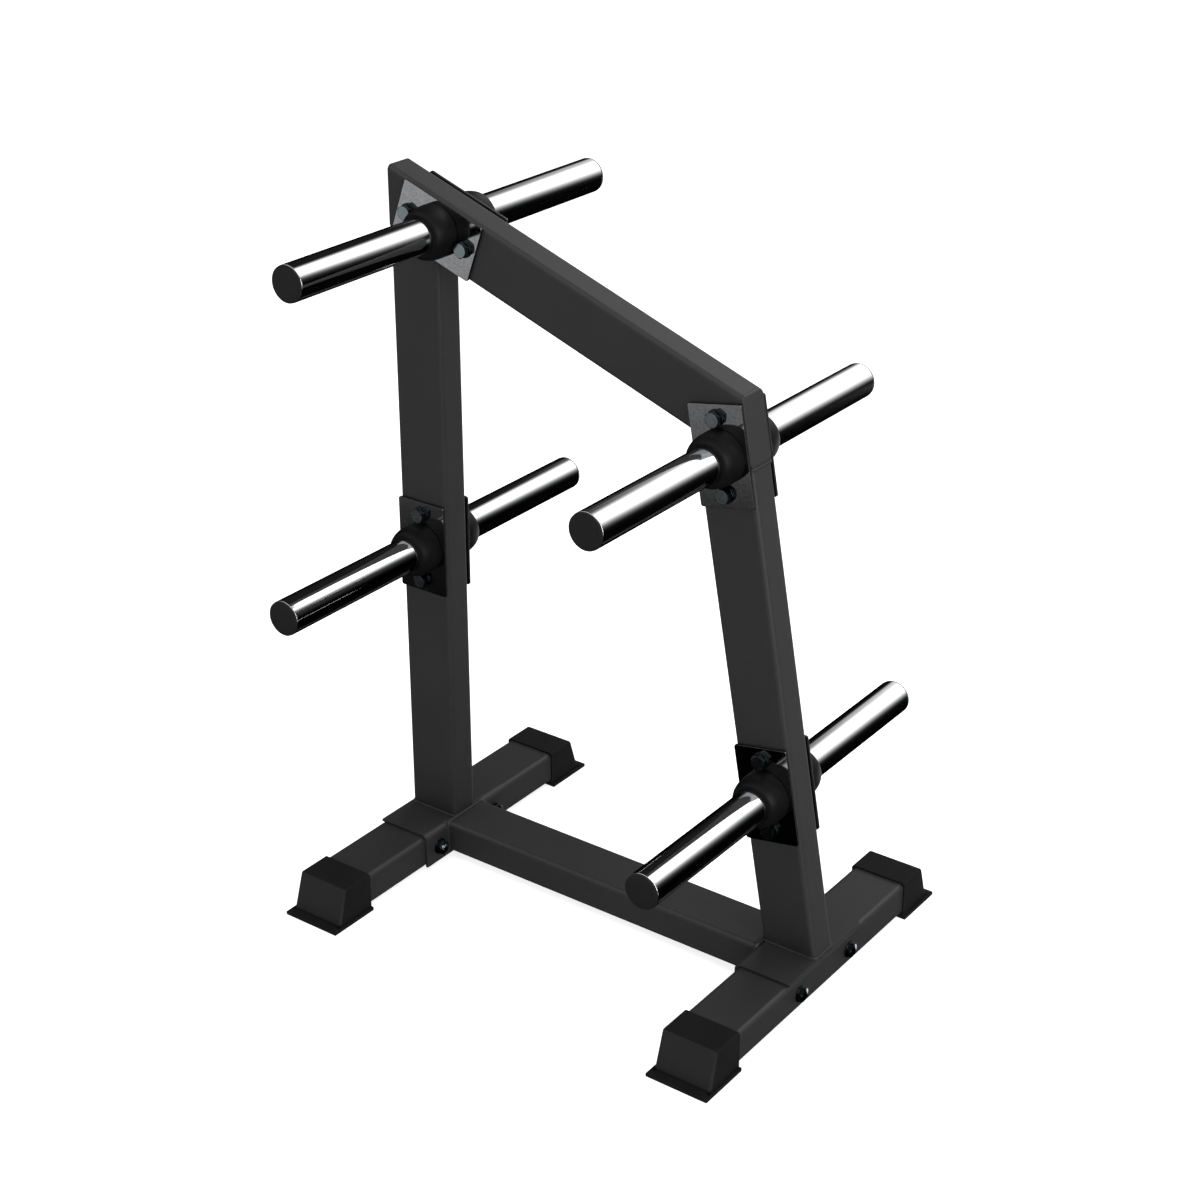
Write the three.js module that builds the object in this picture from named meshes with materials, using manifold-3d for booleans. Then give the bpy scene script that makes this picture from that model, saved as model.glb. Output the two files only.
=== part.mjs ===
// Free-standing weight plate rack: a leaning frame of rectangular tube on two base tubes,
// with four stations that each carry one chromed post to the front and one to the rear.
// Millimetres, +Z up, +X to the right along the frame, -Y to the front, floor at Z = 0.
import * as THREE from 'three';
import { mergeVertices } from 'three/addons/utils/BufferGeometryUtils.js';
import Module from 'manifold-3d';

const wasm = await Module();
wasm.setup();

// clearances
const GAP = 0.3; // between pieces that touch
const HOLE_CLEARANCE = 0.6; // bolt hole radius over shank radius

// tube stock
const TUBE_WIDE = 80;
const FRAME_DEEP = 46; // uprights and beam, front to rear
const BASE_DEEP = 48; // base tubes and cross rail, height
const TUBE_WALL = 3;
const TUBE_CORNER = 7;
const CORNER_STEPS = 3;

// base
const BASE_SPACING = 612; // between the centre lines of the base tubes
const BASE_LENGTH = 510;
const BASE_LIFT = 7; // underside of the base tubes over the floor
const SADDLE_THICK = 4;
const SADDLE_BEND = 5; // inside radius
const SADDLE_END = 27; // from each base bolt to the end of the saddle
const RAIL_TO_BOLT = 22; // from the side of the cross rail to each base bolt

// frame
const UPRIGHT_INSET = 2.4; // outer face of each upright behind the outer face of its base tube
const FRAME_HEIGHT = 1009; // floor to the beam's top face at its left end
const BEAM_DROP = 198; // fall of the beam's top face from left to right
const RIGHT_LEAN = 136.2; // outer edge of the right upright, from its foot to its top
const END_PLATE = 3; // thickness of the plates that close the beam

// stations
const POST_DIAMETER = 48;
const POST_WALL = 3;
const POST_REACH = 305.6; // from the frame's middle plane to the face of the end cap
const FLANGE_INSET = 0.5; // each long edge behind the edge of the tube
const FLANGE_END = 17.5; // from each bolt to the end of the flange
const FLANGE_THICK = 4;
const FLANGE_CORNER = 3;
const COLLAR_WALL = 11.2;
const COLLAR_LENGTH = 35;
const COLLAR_TO_WASHER = 2;
const CAP_HEAD = 3;
const CAP_PLUG = 16;
const UPPER_LEFT_MARGIN = 36; // along the beam, from its left end to the flange
const UPPER_RIGHT_MARGIN = 7.9; // down the upright, from the frame's corner to the flange
const MID_LEFT_HEIGHT = 480;
const LOW_RIGHT_HEIGHT = 282.3;

// fasteners
const SHANK_RADIUS = 6;
const HEX_ACROSS = 19;
const HEAD_TALL = 7.5;
const WASHER_RIM = 0.5; // past the corners of the hexagon
const WASHER_THICK = 2;

// boots
const BOOT_COVER = 47; // length of tube inside a boot
const BOOT_TOP_REACH = 3; // past the end of the tube, at the top
const BOOT_FOOT_REACH = 17; // past the end of the tube, above the sole
const SOLE_REACH = 33; // past the end of the tube
const SOLE_THICK = 5;
const SOLE_LIP = 4; // to each side of the boot
const BOOT_SIDE_WALL = 2;
const BOOT_TOP_WALL = 2.5;
const BOOT_ROUNDING = 1.5;

const ROUND = 28; // segments of a post or collar
const SMALL_ROUND = 12; // segments of a shank, washer or hole

// places worked out from the sizes above
const baseX = BASE_SPACING / 2;
const baseTop = BASE_LIFT + BASE_DEEP;
const baseMid = BASE_LIFT + BASE_DEEP / 2;
const outerFace = baseX + TUBE_WIDE / 2;
const saddleTop = baseTop + GAP + SADDLE_THICK;
const saddleFace = baseX - TUBE_WIDE / 2 - GAP - SADDLE_THICK;
const footZ = saddleTop + GAP;
const uprightLeft = -outerFace + UPRIGHT_INSET;
const uprightRightFoot = outerFace - UPRIGHT_INSET;
const topLeft = new THREE.Vector3(uprightLeft, 0, FRAME_HEIGHT);
const topRight = new THREE.Vector3(uprightRightFoot - RIGHT_LEAN, 0, FRAME_HEIGHT - BEAM_DROP);
const footRight = new THREE.Vector3(uprightRightFoot, 0, footZ);
const alongBeam = topRight.clone().sub(topLeft).normalize();
const overBeam = new THREE.Vector3(-alongBeam.z, 0, alongBeam.x);
const upRight = topRight.clone().sub(footRight).normalize();
const outRight = new THREE.Vector3(upRight.z, 0, -upRight.x);
const up = new THREE.Vector3(0, 0, 1);
const right = new THREE.Vector3(1, 0, 0);
const postRadius = POST_DIAMETER / 2;
const collarBore = postRadius + GAP;
const collarRadius = collarBore + COLLAR_WALL;
const hexRadius = HEX_ACROSS / Math.sqrt(3);
const washerRadius = hexRadius + WASHER_RIM;
const boltOffset = collarRadius + COLLAR_TO_WASHER + washerRadius;
const flangeWide = TUBE_WIDE - 2 * FLANGE_INSET;
const flangeTall = 2 * (boltOffset + FLANGE_END);
const baseBoltOffset = TUBE_WIDE / 2 + RAIL_TO_BOLT;
const saddleLength = 2 * (baseBoltOffset + SADDLE_END);
const bootStart = BASE_LENGTH / 2 - BOOT_COVER;

const powder = { color: 0x2b2b2c, roughness: 0.62, metalness: 0.25 };
const rubber = { color: 0x1b1b1c, roughness: 0.78, metalness: 0 };
const chrome = { color: 0xe4e5e8, roughness: 0.12, metalness: 1 };
const satin = { color: 0x4b4d50, roughness: 0.3, metalness: 1 };
const plastic = { color: 0x242425, roughness: 0.6, metalness: 0 };
const zinc = { color: 0x8b9496, roughness: 0.35, metalness: 1 };

const group = new THREE.Group();
group.name = 'plate_rack';

function toSolid(geometry) {
  const bare = geometry.index ? geometry.toNonIndexed() : geometry.clone();
  bare.deleteAttribute('normal');
  bare.deleteAttribute('uv');
  const merged = mergeVertices(bare, 1e-4);
  const index = Array.from(merged.index.array);
  const at = merged.attributes.position;
  const a = new THREE.Vector3();
  const b = new THREE.Vector3();
  const c = new THREE.Vector3();
  const kept = [];
  let volume = 0;
  for (let i = 0; i < index.length; i += 3) {
    const [p, q, r] = [index[i], index[i + 1], index[i + 2]];
    if (p === q || q === r || r === p) {
      continue;
    }
    a.fromBufferAttribute(at, p);
    b.fromBufferAttribute(at, q);
    c.fromBufferAttribute(at, r);
    volume += a.dot(b.cross(c));
    kept.push(p, q, r);
  }
  if (volume < 0) {
    kept.reverse();
  }
  const vertProperties = new Float32Array(at.array);
  const triVerts = new Uint32Array(kept);
  return new wasm.Manifold(new wasm.Mesh({ numProp: 3, vertProperties, triVerts }));
}

function toGeometry(solid) {
  const mesh = solid.getMesh();
  const geometry = new THREE.BufferGeometry();
  geometry.setAttribute('position', new THREE.BufferAttribute(new Float32Array(mesh.vertProperties), 3));
  geometry.setIndex(new THREE.BufferAttribute(new Uint32Array(mesh.triVerts), 1));
  geometry.computeVertexNormals();
  return geometry;
}

function add(name, solid, look) {
  const material = new THREE.MeshStandardMaterial(look);
  material.name = `${name}_finish`;
  const mesh = new THREE.Mesh(toGeometry(solid), material);
  mesh.name = name;
  group.add(mesh);
}

function roundedRectangle(wide, tall, radius, steps) {
  const points = [];
  const corners = [[1, 1, 0], [-1, 1, 1], [-1, -1, 2], [1, -1, 3]];
  for (const [sx, sy, quarter] of corners) {
    const cx = sx * (wide / 2 - radius);
    const cy = sy * (tall / 2 - radius);
    for (let i = 0; i <= steps; i += 1) {
      const turn = (quarter + i / steps) * Math.PI / 2;
      points.push(new THREE.Vector2(cx + radius * Math.cos(turn), cy + radius * Math.sin(turn)));
    }
  }
  return points;
}

// Solid bar with the outline of the tube, about the origin, its length along +Z.
function barStock(wide, deep, length) {
  const shape = new THREE.Shape(roundedRectangle(wide, deep, TUBE_CORNER, CORNER_STEPS));
  const geometry = new THREE.ExtrudeGeometry(shape, { depth: length, bevelEnabled: false });
  geometry.translate(0, 0, -length / 2);
  return geometry;
}

// Rectangular tube about the origin, its length along +Z.
function tubeStock(wide, deep, length) {
  const shape = new THREE.Shape(roundedRectangle(wide, deep, TUBE_CORNER, CORNER_STEPS));
  const boreWide = wide - 2 * TUBE_WALL;
  const boreDeep = deep - 2 * TUBE_WALL;
  const bore = roundedRectangle(boreWide, boreDeep, TUBE_CORNER - TUBE_WALL, CORNER_STEPS);
  shape.holes.push(new THREE.Path(bore));
  const geometry = new THREE.ExtrudeGeometry(shape, { depth: length, bevelEnabled: false });
  geometry.translate(0, 0, -length / 2);
  return geometry;
}

// Places a geometry so that its own X, Y and Z run along the three given directions.
function place(geometry, xAxis, yAxis, zAxis, origin) {
  const turn = new THREE.Matrix4().makeBasis(xAxis, yAxis, zAxis);
  turn.setPosition(origin);
  return geometry.applyMatrix4(turn);
}

// Removes all material on the side of a plane that the normal points to.
function trim(solid, origin, normal) {
  const size = 3000;
  const block = new THREE.BoxGeometry(size, size, size);
  block.translate(0, 0, size / 2);
  const turn = new THREE.Quaternion().setFromUnitVectors(up, normal.clone().normalize());
  block.applyQuaternion(turn);
  block.translate(origin.x, origin.y, origin.z);
  return solid.subtract(toSolid(block));
}

function rod(radius, from, to, segments) {
  const axis = to.clone().sub(from);
  const geometry = new THREE.CylinderGeometry(radius, radius, axis.length(), segments);
  const turn = new THREE.Quaternion().setFromUnitVectors(new THREE.Vector3(0, 1, 0), axis.clone().normalize());
  geometry.applyQuaternion(turn);
  const middle = from.clone().add(to).multiplyScalar(0.5);
  geometry.translate(middle.x, middle.y, middle.z);
  return toSolid(geometry);
}

// Turned part whose profile is given as [radius, distance along the axis] from an origin.
function turned(profile, origin, axis, segments) {
  const points = profile.map(([radius, along]) => new THREE.Vector2(radius, along));
  const geometry = new THREE.LatheGeometry(points, segments);
  const turn = new THREE.Quaternion().setFromUnitVectors(new THREE.Vector3(0, 1, 0), axis);
  geometry.applyQuaternion(turn);
  geometry.translate(origin.x, origin.y, origin.z);
  return toSolid(geometry);
}

// stations: post axis in the frame's middle plane and the direction of the flange's length
const uprightCentre = uprightLeft + TUBE_WIDE / 2;
const onBeam = (along) => topLeft.clone()
  .addScaledVector(alongBeam, along)
  .addScaledVector(overBeam, -TUBE_WIDE / 2);
const onRightUpright = (down) => topRight.clone()
  .addScaledVector(upRight, -down)
  .addScaledVector(outRight, -TUBE_WIDE / 2);
const upperLeft = onBeam(UPPER_LEFT_MARGIN + flangeTall / 2);
const upperRight = onRightUpright(UPPER_RIGHT_MARGIN + flangeTall / 2);
const lowRight = onRightUpright((onRightUpright(0).z - LOW_RIGHT_HEIGHT) / upRight.z);
const stations = [
  { name: 'upper_left', centre: upperLeft, length: alongBeam.clone().negate() },
  { name: 'mid_left', centre: new THREE.Vector3(uprightCentre, 0, MID_LEFT_HEIGHT), length: up },
  { name: 'upper_right', centre: upperRight, length: upRight },
  { name: 'low_right', centre: lowRight, length: upRight },
];

const boltCentres = [];
for (const station of stations) {
  for (const [label, side] of [['a', 1], ['b', -1]]) {
    const centre = station.centre.clone().addScaledVector(station.length, side * boltOffset);
    boltCentres.push({ name: `bolt_${station.name}_${label}`, centre });
  }
}

function drillStations(solid) {
  let drilled = solid;
  for (const { centre } of boltCentres) {
    const from = centre.clone().setY(-FRAME_DEEP);
    const to = centre.clone().setY(FRAME_DEEP);
    drilled = drilled.subtract(rod(SHANK_RADIUS + HOLE_CLEARANCE, from, to, SMALL_ROUND));
  }
  return drilled;
}

// frame
const front = new THREE.Vector3(0, -1, 0);
const underBeam = topLeft.clone().addScaledVector(overBeam, -TUBE_WIDE - GAP);

const leftStock = tubeStock(TUBE_WIDE, FRAME_DEEP, 2000);
leftStock.translate(uprightCentre, 0, footZ + 1000);
add('left_upright', drillStations(trim(toSolid(leftStock), underBeam, overBeam)), powder);

const rightStock = place(
  tubeStock(TUBE_WIDE, FRAME_DEEP, 2400),
  outRight,
  front.clone().negate(),
  upRight,
  onRightUpright(0),
);
const rightFooted = trim(toSolid(rightStock), new THREE.Vector3(0, 0, footZ), up.clone().negate());
add('right_upright', drillStations(trim(rightFooted, underBeam, overBeam)), powder);

// Part of the beam's stock between two cuts, each set back from its end of the frame.
const leftward = right.clone().negate();
function beamPiece(geometry, leftBack, rightBack) {
  const stock = toSolid(place(geometry, overBeam, front, alongBeam, onBeam(300)));
  const leftCut = topLeft.clone().addScaledVector(leftward, -leftBack);
  const rightCut = topRight.clone().addScaledVector(outRight, -rightBack);
  return { stock, leftCut, rightCut };
}

const tube = beamPiece(tubeStock(TUBE_WIDE, FRAME_DEEP, 2400), END_PLATE + GAP, END_PLATE + GAP);
const beamSolid = trim(trim(tube.stock, tube.leftCut, leftward), tube.rightCut, outRight);
add('top_beam', drillStations(beamSolid), powder);

const plate = beamPiece(barStock(TUBE_WIDE, FRAME_DEEP, 2400), END_PLATE, END_PLATE);
const leftPlate = trim(trim(plate.stock, topLeft, leftward), plate.leftCut, right);
add('beam_plate_left', leftPlate, powder);
const rightPlate = trim(trim(plate.stock, topRight, outRight), plate.rightCut, outRight.clone().negate());
add('beam_plate_right', rightPlate, powder);

// base
function drillBase(solid, side) {
  let drilled = solid;
  for (const y of [-baseBoltOffset, baseBoltOffset]) {
    const from = new THREE.Vector3(side * (baseX - TUBE_WIDE), y, baseMid);
    const to = new THREE.Vector3(side * (baseX + TUBE_WIDE), y, baseMid);
    drilled = drilled.subtract(rod(SHANK_RADIUS + HOLE_CLEARANCE, from, to, SMALL_ROUND));
  }
  return drilled;
}

// Angle plate over the base tube: a top under the upright and one wall on the inner side.
function saddle(side) {
  const outer = new THREE.Shape();
  const inside = SADDLE_BEND;
  const outside = SADDLE_BEND + SADDLE_THICK;
  const wallIn = saddleFace + SADDLE_THICK;
  const underside = saddleTop - SADDLE_THICK;
  outer.moveTo(side * outerFace, underside);
  outer.lineTo(side * outerFace, saddleTop);
  for (let i = 0; i <= CORNER_STEPS; i += 1) {
    const turn = (i / CORNER_STEPS) * Math.PI / 2;
    const x = saddleFace + outside - outside * Math.sin(turn);
    outer.lineTo(side * x, saddleTop - outside + outside * Math.cos(turn));
  }
  outer.lineTo(side * saddleFace, BASE_LIFT);
  outer.lineTo(side * wallIn, BASE_LIFT);
  for (let i = 0; i <= CORNER_STEPS; i += 1) {
    const turn = (1 - i / CORNER_STEPS) * Math.PI / 2;
    const x = wallIn + inside - inside * Math.sin(turn);
    outer.lineTo(side * x, underside - inside + inside * Math.cos(turn));
  }
  const geometry = new THREE.ExtrudeGeometry(outer, { depth: saddleLength, bevelEnabled: false });
  geometry.rotateX(Math.PI / 2);
  geometry.translate(0, saddleLength / 2, 0);
  return toSolid(geometry);
}

for (const [label, side] of [['left', -1], ['right', 1]]) {
  const stock = tubeStock(TUBE_WIDE, BASE_DEEP, BASE_LENGTH);
  stock.rotateX(Math.PI / 2);
  stock.translate(side * baseX, 0, baseMid);
  add(`${label}_base_tube`, drillBase(toSolid(stock), side), powder);
  add(`${label}_saddle`, drillBase(saddle(side), side), powder);
}

const railStock = tubeStock(TUBE_WIDE, BASE_DEEP, 2 * (saddleFace - GAP));
railStock.rotateZ(Math.PI / 2);
railStock.rotateY(Math.PI / 2);
railStock.translate(0, 0, saddleTop - BASE_DEEP / 2);
add('cross_rail', toSolid(railStock), powder);

// Rubber boot pulled over the end of a base tube, with a thin sole that reaches past its toe.
function boot(side, end) {
  const wide = TUBE_WIDE + 2 * BOOT_SIDE_WALL;
  const topEnd = BASE_LENGTH / 2 + BOOT_TOP_REACH;
  const footEnd = BASE_LENGTH / 2 + BOOT_FOOT_REACH;
  const soleEnd = BASE_LENGTH / 2 + SOLE_REACH;
  const profile = new THREE.Shape([
    new THREE.Vector2(bootStart, 0),
    new THREE.Vector2(bootStart, baseTop + BOOT_TOP_WALL),
    new THREE.Vector2(topEnd, baseTop + BOOT_TOP_WALL),
    new THREE.Vector2(footEnd, SOLE_THICK),
    new THREE.Vector2(footEnd, 0),
  ]);
  const body = new THREE.ExtrudeGeometry(profile, {
    depth: wide - 2 * BOOT_ROUNDING,
    bevelEnabled: true,
    bevelThickness: BOOT_ROUNDING,
    bevelSize: BOOT_ROUNDING,
    bevelOffset: -BOOT_ROUNDING,
    bevelSegments: 2,
  });
  body.translate(0, 0, -wide / 2 + BOOT_ROUNDING);
  const outward = new THREE.Vector3(0, end, 0);
  const across = new THREE.Vector3().crossVectors(outward, up);
  const centre = new THREE.Vector3(side * baseX, 0, 0);
  place(body, outward, up, across, centre);
  const sole = new THREE.BoxGeometry(wide + 2 * SOLE_LIP, soleEnd - bootStart, SOLE_THICK);
  sole.translate(side * baseX, end * (soleEnd + bootStart) / 2, SOLE_THICK / 2);
  const pocketShape = new THREE.Shape(
    roundedRectangle(TUBE_WIDE + 2 * GAP, BASE_DEEP + 2 * GAP, TUBE_CORNER + GAP, CORNER_STEPS),
  );
  const pocket = new THREE.ExtrudeGeometry(pocketShape, { depth: BASE_LENGTH + 2 * GAP, bevelEnabled: false });
  pocket.rotateX(Math.PI / 2);
  pocket.translate(side * baseX, BASE_LENGTH / 2 + GAP, baseMid);
  return toSolid(body).add(toSolid(sole)).subtract(toSolid(pocket));
}

for (const [sideLabel, side] of [['left', -1], ['right', 1]]) {
  for (const [endLabel, end] of [['front', -1], ['rear', 1]]) {
    add(`boot_${sideLabel}_${endLabel}`, boot(side, end), rubber);
  }
}

// stations
function flange(station, end) {
  const shape = new THREE.Shape(roundedRectangle(flangeWide, flangeTall, FLANGE_CORNER, 2));
  const geometry = new THREE.ExtrudeGeometry(shape, { depth: FLANGE_THICK, bevelEnabled: false });
  const outward = new THREE.Vector3(0, end, 0);
  const across = new THREE.Vector3().crossVectors(station.length, outward);
  const origin = station.centre.clone().setY(end * (FRAME_DEEP / 2 + GAP));
  let solid = toSolid(place(geometry, across, station.length, outward, origin));
  for (const side of [-1, 1]) {
    const centre = station.centre.clone().addScaledVector(station.length, side * boltOffset);
    const from = centre.clone().setY(-FRAME_DEEP);
    const to = centre.clone().setY(FRAME_DEEP);
    solid = solid.subtract(rod(SHANK_RADIUS + HOLE_CLEARANCE, from, to, SMALL_ROUND));
  }
  return solid;
}

const postBore = postRadius - POST_WALL;
const flangeFace = FRAME_DEEP / 2 + GAP + FLANGE_THICK;
const postStart = flangeFace + GAP;
const postEnd = POST_REACH - CAP_HEAD - GAP;

const postProfile = [
  [postBore, postStart],
  [postRadius, postStart],
  [postRadius, postEnd - 0.6],
  [postRadius - 0.6, postEnd],
  [postBore, postEnd],
  [postBore, postStart],
];

const collarProfile = [
  [collarBore, postStart],
  [collarRadius, postStart],
  [collarRadius, postStart + 0.3 * COLLAR_LENGTH],
  [collarBore + 0.93 * COLLAR_WALL, postStart + 0.46 * COLLAR_LENGTH],
  [collarBore + 0.73 * COLLAR_WALL, postStart + 0.62 * COLLAR_LENGTH],
  [collarBore + 0.45 * COLLAR_WALL, postStart + 0.78 * COLLAR_LENGTH],
  [collarBore + 0.09 * COLLAR_WALL, postStart + COLLAR_LENGTH],
  [collarBore, postStart + COLLAR_LENGTH],
  [collarBore, postStart],
];

const plugRadius = postBore - GAP;
const capProfile = [
  [0, postEnd - CAP_PLUG],
  [plugRadius, postEnd - CAP_PLUG],
  [plugRadius, postEnd + GAP],
  [postRadius - 0.6, postEnd + GAP],
  [postRadius - 0.6, POST_REACH - 0.8],
  [postRadius - 1.4, POST_REACH],
  [0, POST_REACH],
];

for (const station of stations) {
  for (const [endLabel, end] of [['front', -1], ['rear', 1]]) {
    const tag = `${station.name}_${endLabel}`;
    const outward = new THREE.Vector3(0, end, 0);
    add(`flange_${tag}`, flange(station, end), satin);
    add(`post_${tag}`, turned(postProfile, station.centre, outward, ROUND), chrome);
    add(`collar_${tag}`, turned(collarProfile, station.centre, outward, ROUND), rubber);
    add(`cap_${tag}`, turned(capProfile, station.centre, outward, ROUND), plastic);
  }
}

// Bolt with a washer under its hexagon head and a nut with a washer at its far end.
function bolt(headFace, nutFace) {
  const axis = nutFace.clone().sub(headFace).normalize();
  const point = (base, along) => base.clone().addScaledVector(axis, along);
  const headStart = -GAP - WASHER_THICK - HEAD_TALL;
  const nutEnd = GAP + WASHER_THICK + HEAD_TALL;
  const shank = rod(SHANK_RADIUS, point(headFace, headStart + 1), point(nutFace, nutEnd + 3), SMALL_ROUND);
  const head = rod(hexRadius, point(headFace, headStart), point(headFace, -GAP - 0.5), 6);
  const nut = rod(hexRadius, point(nutFace, GAP + 0.5), point(nutFace, nutEnd), 6);
  const headWasher = rod(washerRadius, point(headFace, -GAP - WASHER_THICK), point(headFace, -GAP), SMALL_ROUND);
  const nutWasher = rod(washerRadius, point(nutFace, GAP), point(nutFace, GAP + WASHER_THICK), SMALL_ROUND);
  return shank.add(head).add(nut).add(headWasher).add(nutWasher);
}

for (const { name, centre } of boltCentres) {
  add(name, bolt(centre.clone().setY(-flangeFace), centre.clone().setY(flangeFace)), zinc);
}

for (const [sideLabel, side] of [['left', -1], ['right', 1]]) {
  for (const [endLabel, end] of [['front', -1], ['rear', 1]]) {
    const headFace = new THREE.Vector3(side * outerFace, end * baseBoltOffset, baseMid);
    const nutFace = new THREE.Vector3(side * saddleFace, end * baseBoltOffset, baseMid);
    add(`bolt_${sideLabel}_base_${endLabel}`, bolt(headFace, nutFace), zinc);
  }
}

export default group;
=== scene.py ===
import bpy
import bmesh
import math
from mathutils import Matrix, Vector


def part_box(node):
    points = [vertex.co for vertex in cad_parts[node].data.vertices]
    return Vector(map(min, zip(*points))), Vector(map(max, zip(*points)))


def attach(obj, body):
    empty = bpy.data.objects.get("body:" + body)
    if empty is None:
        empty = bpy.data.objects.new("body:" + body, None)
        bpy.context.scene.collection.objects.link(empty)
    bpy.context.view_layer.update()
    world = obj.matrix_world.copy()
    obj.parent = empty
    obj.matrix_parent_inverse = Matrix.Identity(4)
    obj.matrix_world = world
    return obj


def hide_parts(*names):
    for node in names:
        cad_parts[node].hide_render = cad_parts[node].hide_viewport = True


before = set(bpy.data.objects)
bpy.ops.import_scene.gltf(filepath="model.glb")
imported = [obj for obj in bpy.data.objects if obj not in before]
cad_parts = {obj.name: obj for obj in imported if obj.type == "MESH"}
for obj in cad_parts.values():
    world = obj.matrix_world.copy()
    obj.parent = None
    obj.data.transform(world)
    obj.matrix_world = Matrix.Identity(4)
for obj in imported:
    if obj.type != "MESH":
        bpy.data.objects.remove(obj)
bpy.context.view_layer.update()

mm = 0.001
root = "root"
air = 0.3 * mm  # between two pieces that touch
same = 0.05 * mm  # two places closer than this are one
up = Vector((0, 0, 1))
across = Vector((1, 0, 0))
rearward = Vector((0, 1, 0))


# places read from the frame

def middle(node):
    low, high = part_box(node)
    return (low + high) / 2


stationNames = ["upper_left", "mid_left", "upper_right", "low_right"]
stations = {}
for name in stationNames:
    post = middle("post_" + name + "_front")
    lengthwise = (middle("bolt_" + name + "_a") - middle("bolt_" + name + "_b")).normalized()
    lengthwise.y = 0
    stations[name] = {"centre": Vector((post.x, 0, post.z)), "lengthwise": lengthwise.normalized()}

slope = -stations["upper_left"]["lengthwise"]
lean = stations["upper_right"]["lengthwise"]
overBeam = Vector((-slope.z, 0, slope.x))
outward = Vector((lean.z, 0, -lean.x))
print("frame read:", len(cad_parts), "nodes")


# shader helpers

class Wire:
    # an output socket that can be used in plain sums
    def __init__(self, tree, socket):
        self.tree = tree
        self.socket = socket

    def maths(self, operation, first, second=0.0):
        return makeNode(self.tree, "ShaderNodeMath", {"operation": operation}, {0: first, 1: second})

    def __add__(self, other):
        return self.maths("ADD", self, other)

    def __radd__(self, other):
        return self.maths("ADD", other, self)

    def __sub__(self, other):
        return self.maths("SUBTRACT", self, other)

    def __rsub__(self, other):
        return self.maths("SUBTRACT", other, self)

    def __mul__(self, other):
        return self.maths("MULTIPLY", self, other)

    def __rmul__(self, other):
        return self.maths("MULTIPLY", other, self)

    def __truediv__(self, other):
        return self.maths("DIVIDE", self, other)

    def __rtruediv__(self, other):
        return self.maths("DIVIDE", other, self)

    def __abs__(self):
        return self.maths("ABSOLUTE", self)

    def atLeast(self, floor):
        return self.maths("MAXIMUM", self, floor)


def makeNode(tree, kind, settings, inputs, output=0):
    node = tree.nodes.new(kind)
    for key, value in settings.items():
        if key == "stops":
            elements = node.color_ramp.elements
            while len(elements) < len(value):
                elements.new(1.0)
            for element, (position, shade) in zip(elements, value):
                element.position = position
                element.color = (shade, shade, shade, 1)
        else:
            setattr(node, key, value)
    for key, value in inputs.items():
        socket = node.inputs[key]
        if isinstance(value, Wire):
            tree.links.new(value.socket, socket)
        else:
            socket.default_value = value
    return None if output is None else Wire(tree, node.outputs[output])


def objectPlace(tree, stretch=(1, 1, 1)):
    place = makeNode(tree, "ShaderNodeTexCoord", {}, {}, "Object")
    return makeNode(tree, "ShaderNodeMapping", {}, {"Vector": place, "Scale": stretch})


def noise(tree, place, scale, detail=3.0, roughness=0.5):
    inputs = {"Vector": place, "Scale": scale, "Detail": detail, "Roughness": roughness}
    return makeNode(tree, "ShaderNodeTexNoise", {}, inputs)


def ramp(tree, factor, stops):
    return makeNode(tree, "ShaderNodeValToRGB", {"stops": stops}, {"Fac": factor})


def tint(tree, factor, dark, light):
    firstColour, secondColour, mixed = 6, 7, 2  # the colour sockets of a Mix node
    dark, light = (c if isinstance(c, Wire) else (*c, 1) for c in (dark, light))
    inputs = {0: factor, firstColour: dark, secondColour: light}
    return makeNode(tree, "ShaderNodeMix", {"data_type": "RGBA"}, inputs, mixed)


def coordinate(tree, place, letter):
    return makeNode(tree, "ShaderNodeSeparateXYZ", {}, {"Vector": place}, letter)


def fade(tree, value, start, end, low=0.0, high=1.0):
    inputs = {"Value": value, "From Min": start, "From Max": end, "To Min": low, "To Max": high}
    return makeNode(tree, "ShaderNodeMapRange", {"interpolation_type": "SMOOTHSTEP"}, inputs)


def bump(tree, height, strength, distance):
    inputs = {"Height": height, "Strength": strength, "Distance": distance}
    return makeNode(tree, "ShaderNodeBump", {}, inputs)


def surface(name, shine, varying):
    material = bpy.data.materials.new(name)
    material.use_nodes = True
    tree = material.node_tree
    shader = tree.nodes["Principled BSDF"]
    for key, value in shine.items():
        shader.inputs[key].default_value = value
    for key, wire in varying(tree).items():
        tree.links.new(wire.socket, shader.inputs[key])
    return material


# finishes: pattern scales are in waves per metre, bump heights in metres

powder = {"dark": (0.0165, 0.0165, 0.0172), "light": (0.0235, 0.0235, 0.0243), "cloud": 14, "grain": 1500,
          "peel": 240, "rough": 0.43, "roughSpread": 0.16, "bump": 0.35, "bumpHeight": 0.00012}


def powderNodes(tree):
    place = objectPlace(tree)
    cloud = noise(tree, place, powder["cloud"], 4)
    grain = noise(tree, place, powder["grain"], 2)
    peel = noise(tree, place, powder["peel"], 2)
    mottle = cloud * 0.6 + grain * 0.4
    height = grain * 0.5 + peel * 0.5
    return {
        "Base Color": tint(tree, mottle, powder["dark"], powder["light"]),
        "Roughness": powder["rough"] + mottle * powder["roughSpread"],
        "Normal": bump(tree, height, powder["bump"], powder["bumpHeight"]),
    }


powderCoat = surface("powder_coat", {"IOR": 1.5}, powderNodes)

chrome = {"dark": (0.78, 0.785, 0.8), "light": (0.88, 0.885, 0.895), "lines": (700, 9, 700), "haze": 22,
          "rough": 0.035, "lineRough": 0.05, "hazeRough": 0.02, "bump": 0.06, "bumpHeight": 0.0004}


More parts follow.
